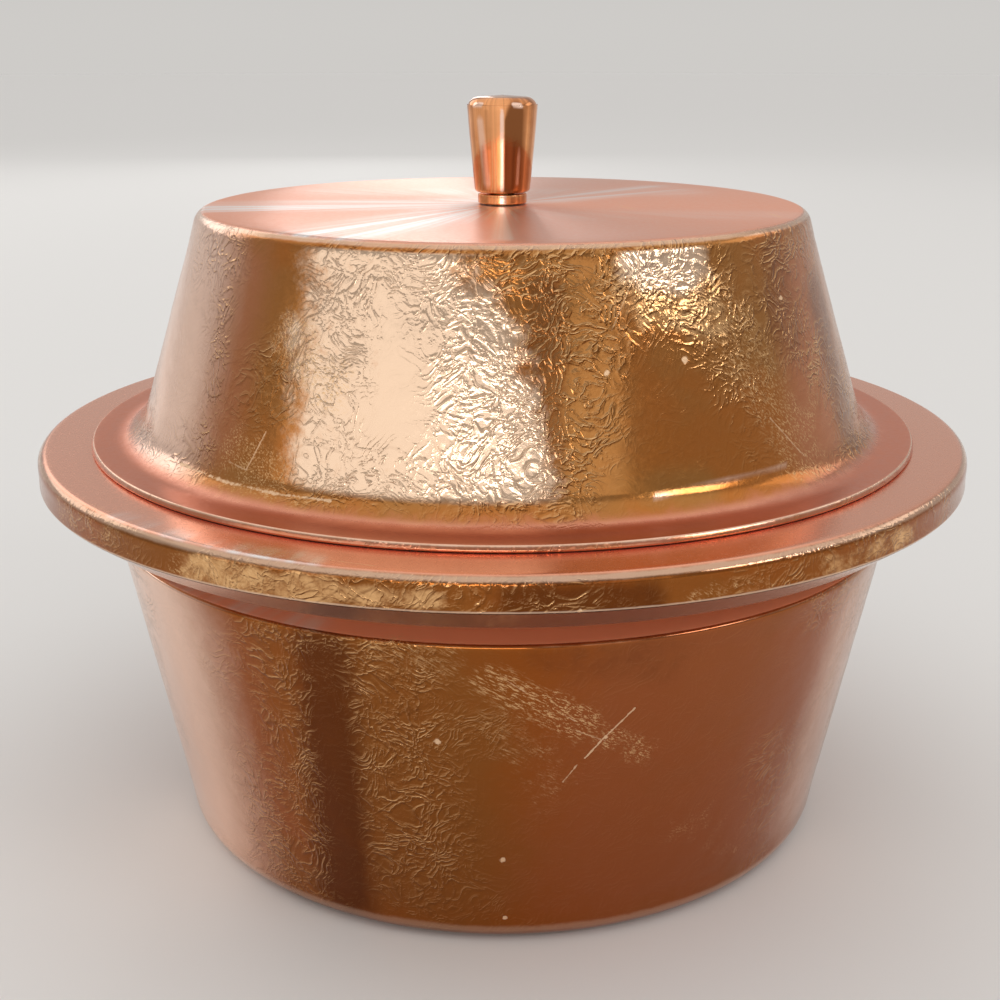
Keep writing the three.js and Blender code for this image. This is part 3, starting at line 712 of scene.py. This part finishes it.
# Knob, collar, washer and screw
knob = {"height": 26, "topRadius": 9.75, "footRadius": 7.6, "topFillet": 3.2, "footFillet": 1.2, "crown": 0.7,
        "swell": (0.93, 0.78), "steps": 14, "collarRadius": 6.8, "collarHeight": 2.7, "collarFillet": 0.4,
        "screwRadius": 3, "screwReach": 16, "headRadius": 6, "washerRadius": 12, "washerSheet": 1.2,
        "washerDish": 0.8, "sides": 160}
knobFinish = {
    # Painted light on the knob: the shade lines and the darker right side are painted dark reflections, the pale lines
    # and shoulder spots are painted highlights
    "shade": {"line": (508, 118, 507, 190, 0.9, 1.0), "right": (516, 112, 513, 188, 2.6, 1.0),
              "left": (486, 112, 489, 150, 1.2, 0.4)},
    "paintedHighlight": {"line": (502, 112, 502, 190, 0.6, 0.85), "shoulderLeft": (474, 104, 481, 104, 0.7, 1.0),
              "shoulderRight": (514, 104, 521, 105, 0.7, 1.0), "left": (480, 120, 487, 185, 1.4, 0.6),
              "right": (519, 150, 517, 185, 0.7, 0.45)}}
collarFoot = lidTop + bowl["gap"]
knobFoot = collarFoot + knob["collarHeight"] + bowl["gap"]
knobTop = knobFoot + knob["height"]
knobShoulder = knobTop - knob["crown"]
swellRadius = knob["footRadius"] + (knob["topRadius"] - knob["footRadius"]) * knob["swell"][0]
swellHeight = knobFoot + (knobShoulder - knobFoot) * knob["swell"][1]
knobSide = []  # a smooth curve from the foot to the shoulder, drawn towards the swell
for k in range(knob["steps"] + 1):
    t = k / knob["steps"]
    shares = ((1 - t) ** 2, 2 * t * (1 - t), t ** 2)
    knobSide.append((shares[0] * knob["footRadius"] + shares[1] * swellRadius + shares[2] * knob["topRadius"],
                     shares[0] * knobFoot + shares[1] * swellHeight + shares[2] * knobShoulder, 0))
del knobSide[-2]  # leaves room for the round at the top
knobSide[0] = (*knobSide[0][:2], knob["footFillet"])
knobSide[-1] = (*knobSide[-1][:2], knob["topFillet"])
boreRadius, screwTip = knob["screwRadius"] + bowl["gap"], knobFoot + knob["screwReach"]
boreTop = screwTip + bowl["gap"]
knobPath = inMetres([(0, boreTop, 0), (boreRadius, boreTop, 0), (boreRadius, knobFoot, 0), *knobSide,
                     (0, knobTop, 0)])
knobPiece = turnedPiece("turnedKnob", knobPath, False, sides=knob["sides"])
paintFinish(knobPiece, knobFinish)
dress(knobPiece, "lid", "polished_copper", polished, "knob")
collarTop = collarFoot + knob["collarHeight"]
collar = turnedPiece("knobCollar", inMetres([(boreRadius, collarFoot, 0),
                                             (knob["collarRadius"], collarFoot, knob["collarFillet"]),
                                             (knob["collarRadius"], collarTop, knob["collarFillet"]),
                                             (boreRadius, collarTop, 0)]), True, sides=knob["sides"])
# A painted highlight line round the collar
paintFinish(collar, {"paintedHighlight": {"line": (503, 197, 503, 204, 0.9, 1.0)}})
dress(collar, "lid", "polished_copper", polished, "knob_collar")
washerFoot = lidTop - lid["sheet"] - bowl["gap"] - bowl["tin"] - bowl["gap"] - knob["washerSheet"]
washerPath = inMetres([(boreRadius, washerFoot - knob["washerDish"], 0),
                       (knob["headRadius"], washerFoot - knob["washerDish"], 0), (knob["washerRadius"], washerFoot, 0)])
washer = turnedPiece("knobWasher", sheetOutline(washerPath, knob["washerSheet"] * mm), True, sides=knob["sides"])
dress(washer, "lid", "brass", turnedBrass, "knob_washer")
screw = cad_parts["knob_screw"]
screw.data.materials.clear()
screw.data.materials.append(turnedBrass)
print("knob made")

# Floor, light and surroundings: a wide round floor, and a world that starts in the floor's own tone
studio = {"floorRadius": 9.0, "floorSides": 96, "floorDrop": 0.2 * mm, "floor": (0.80, 0.785, 0.765),
          "floorRough": 0.7, "horizon": (0.617, 0.60, 0.578), "behind": (0.53, 0.52, 0.51),
          "front": (0.46, 0.45, 0.44), "overhead": (0.92, 0.91, 0.90), "frontToBehind": (-0.55, 0.45),
          "cove": (0.0, 0.13), "lantern": (0.5, 0.7), "strength": 1.0, "panelDistance": 2.4, "aimHeight": 0.1}
floorMesh = bpy.data.meshes.new("floor")
turns = [2 * math.pi * k / studio["floorSides"] for k in range(studio["floorSides"])]
floorMesh.from_pydata([(studio["floorRadius"] * math.cos(turn), studio["floorRadius"] * math.sin(turn), 0)
                       for turn in turns], [], [tuple(range(studio["floorSides"]))])
floor = bpy.data.objects.new("floor", floorMesh)
bpy.context.scene.collection.objects.link(floor)
floor.location.z = -studio["floorDrop"]
floorPaint = bpy.data.materials.new("floorPaint")
floorPaint.use_nodes = True
floorShader = floorPaint.node_tree.nodes["Principled BSDF"]
floorShader.inputs["Base Color"].default_value = (*studio["floor"], 1)
floorShader.inputs["Roughness"].default_value = studio["floorRough"]
floorMesh.materials.append(floorPaint)

world = bpy.data.worlds.new("studio")
bpy.context.scene.world = world
world.use_nodes = True
world.node_tree.nodes.clear()
sky = Wiring(world.node_tree)
away = sky.add("ShaderNodeSeparateXYZ", {0: sky.add("ShaderNodeTexCoord").outputs["Generated"]}).outputs
tone = sky.mix(sky.ramp(away[1], *studio["frontToBehind"]), studio["front"], studio["behind"])
tone = sky.mix(sky.ramp(away[2], *studio["cove"]), studio["horizon"], tone)
tone = sky.mix(sky.ramp(away[2], *studio["lantern"]), tone, studio["overhead"])
glow = sky.add("ShaderNodeBackground", {"Color": tone, "Strength": studio["strength"]})
sky.add("ShaderNodeOutputWorld", {"Surface": glow.outputs[0]})

# Each panel: bearing from straight in front, to the right, then elevation, width and height, all in degrees,
# and its brightness
panels = {"keyLeft": (-31, 15, 78, 21, 0.68), "keyHot": (-6, 13, 24, 8, 4.4),
          "stripMiddle": (27, 15, 20, 20, 0.62), "windowRight": (61, 27.5, 20, 9, 5.2),
          "sideLeft": (-133, 26, 40, 24, 1.0), "glareLeft": (-174, 13, 9, 14, 1.9),
          "sideRight": (112, 30, 34, 12, 0.9)}
aim = Vector((0, 0, studio["aimHeight"]))
for name, (bearing, elevation, wide, high, brightness) in panels.items():
    lamp = bpy.data.lights.new(name, "AREA")
    lamp.shape = "RECTANGLE"
    lamp.size = 2 * studio["panelDistance"] * math.tan(math.radians(wide / 2))
    lamp.size_y = 2 * studio["panelDistance"] * math.tan(math.radians(high / 2))
    lamp.energy = brightness * math.pi * lamp.size * lamp.size_y
    side, up = math.radians(bearing), math.radians(elevation)
    back = Vector((math.sin(side) * math.cos(up), -math.cos(side) * math.cos(up), math.sin(up)))
    stand = bpy.data.objects.new(name, lamp)
    bpy.context.scene.collection.objects.link(stand)
    stand.location = aim + back * studio["panelDistance"]
    stand.rotation_euler = back.to_track_quat("Z", "Y").to_euler()
    stand.visible_camera = False
bpy.context.scene.view_settings.view_transform = "Standard"
print("studio made")
